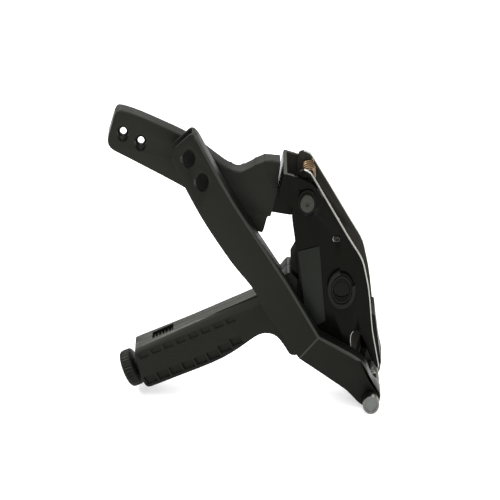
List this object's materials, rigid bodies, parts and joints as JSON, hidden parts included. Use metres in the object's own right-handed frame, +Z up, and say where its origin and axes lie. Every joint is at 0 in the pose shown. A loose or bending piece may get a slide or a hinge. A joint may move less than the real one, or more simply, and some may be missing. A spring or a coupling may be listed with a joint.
{
  "type": "strapping tensioner tool",
  "caption": "Hand tool that tensions and cuts steel strapping: a pistol grip, a pumping handle and a cut-off lever on two side plates with a feed wheel, pawls and a nose anvil.",
  "frame": {"origin": "bottom centre of the whole tool at rest, upright as it is held", "axes": "+Z up, +X towards the nose that the strap enters, -Y towards the side with the cut-off lever"},
  "size_m": [0.229, 0.074, 0.2696],
  "materials": {
    "plate_paint": "gloss black paint on steel plate",
    "lever_paint": "satin black coated aluminium casting",
    "lever_steel": "satin black coat on formed sheet steel",
    "grip_plastic": "moulded, fine grain",
    "bright_steel": "ground and oiled",
    "black_steel": "black oxide",
    "bronze": "oiled bronze",
    "label": "blank plate, satin"
  },
  "bodies": {
    "root": {"side_plate_front": "plate_paint", "side_plate_rear": "plate_paint", "spacer_upper": "black_steel", "spacer_nose": "black_steel", "grip_tang": "black_steel", "top_bracket": "plate_paint", "top_pivot_bolt": "black_steel", "top_washer_front": "black_steel", "top_washer_rear": "black_steel", "top_nut": "black_steel", "spring_post": "black_steel", "handle_return_spring": "bronze", "spring_collar": "black_steel", "shaft_bush_front": "bronze", "shaft_bush_rear": "bronze", "bearing_cover_front": "plate_paint", "bearing_cover_rear": "plate_paint", "holding_pawl_pin": "black_steel", "nose_anvil": "black_steel", "strap_guide": "black_steel", "grip_shell_front": "grip_plastic", "grip_shell_rear": "grip_plastic", "tension_spring": "bright_steel", "label_plate": "label", "lever_return_spring": "bright_steel", "lever_bush": "bronze"},
    "tension_handle": {"tension_handle_cover": "lever_paint", "tension_handle_core": "black_steel", "crank_pin": "black_steel"},
    "drive_pawl": {"drive_pawl": "bright_steel"},
    "feed_wheel": {"feed_wheel": "bright_steel", "main_shaft": "black_steel"},
    "holding_pawl": {"holding_pawl": "bright_steel"},
    "cutoff_lever": {"cutoff_lever": "lever_steel", "lever_pivot_pin": "bright_steel", "lower_pin_clip": "black_steel", "cutter_cam": "black_steel"},
    "cutter_blade": {"cutter_blade": "black_steel"},
    "tension_knob": {"tension_knob": "grip_plastic", "tension_rod": "bright_steel", "spring_seat": "black_steel"},
    "tension_indicator": {"tension_indicator": "black_steel"}
  },
  "joints": [
    {"name": "handle_hinge", "type": "hinge", "parent": "root", "child": "tension_handle", "pos_m": [0.04869, 0.0065, 0.1936], "axis": [0, -1, 0], "range_deg": [0, 32], "stiffness_Nm_per_rad": 0.9, "springref_deg": -34.38},
    {"name": "drive_pawl_swing", "type": "hinge", "parent": "tension_handle", "child": "drive_pawl", "pos_m": [0.05999, 0.0065, 0.181], "axis": [0, -1, 0], "range_deg": [-36, 0]},
    {"name": "feed_wheel_spin", "type": "hinge", "parent": "root", "child": "feed_wheel", "pos_m": [0.07809, 0.0065, 0.1084], "axis": [0, 1, 0], "continuous": true},
    {"name": "holding_pawl_swing", "type": "hinge", "parent": "root", "child": "holding_pawl", "pos_m": [0.07379, 0.0065, 0.156], "axis": [0, -1, 0], "range_deg": [0, 12], "stiffness_Nm_per_rad": 0.05, "springref_deg": -17.19},
    {"name": "cutoff_lever_hinge", "type": "hinge", "parent": "root", "child": "cutoff_lever", "pos_m": [0.10379, 0.0065, 0.01], "axis": [0, -1, 0], "range_deg": [0, 38], "stiffness_Nm_per_rad": 1.4, "springref_deg": -40.11},
    {"name": "cutter_slide", "type": "slide", "parent": "root", "child": "cutter_blade", "axis": [0, 0, -1], "range_m": [0, 0.004]},
    {"name": "tension_knob_turn", "type": "hinge", "parent": "root", "child": "tension_knob", "pos_m": [-0.09931, 0.0065, 0.0196], "axis": [0.9135, 0, 0.4067], "range_deg": [0, 720]},
    {"name": "tension_indicator_slide", "type": "slide", "parent": "root", "child": "tension_indicator", "axis": [0.9135, 0, 0.4067], "range_m": [0, 0.006]}
  ],
  "couplings": [
    {"joint": "drive_pawl_swing", "follows": "handle_hinge", "ratio": -1.1},
    {"joint": "cutter_slide", "follows": "cutoff_lever_hinge", "m_per_rad": 0.006},
    {"joint": "tension_indicator_slide", "follows": "tension_knob_turn", "m_per_rad": 0.000477}
  ]
}
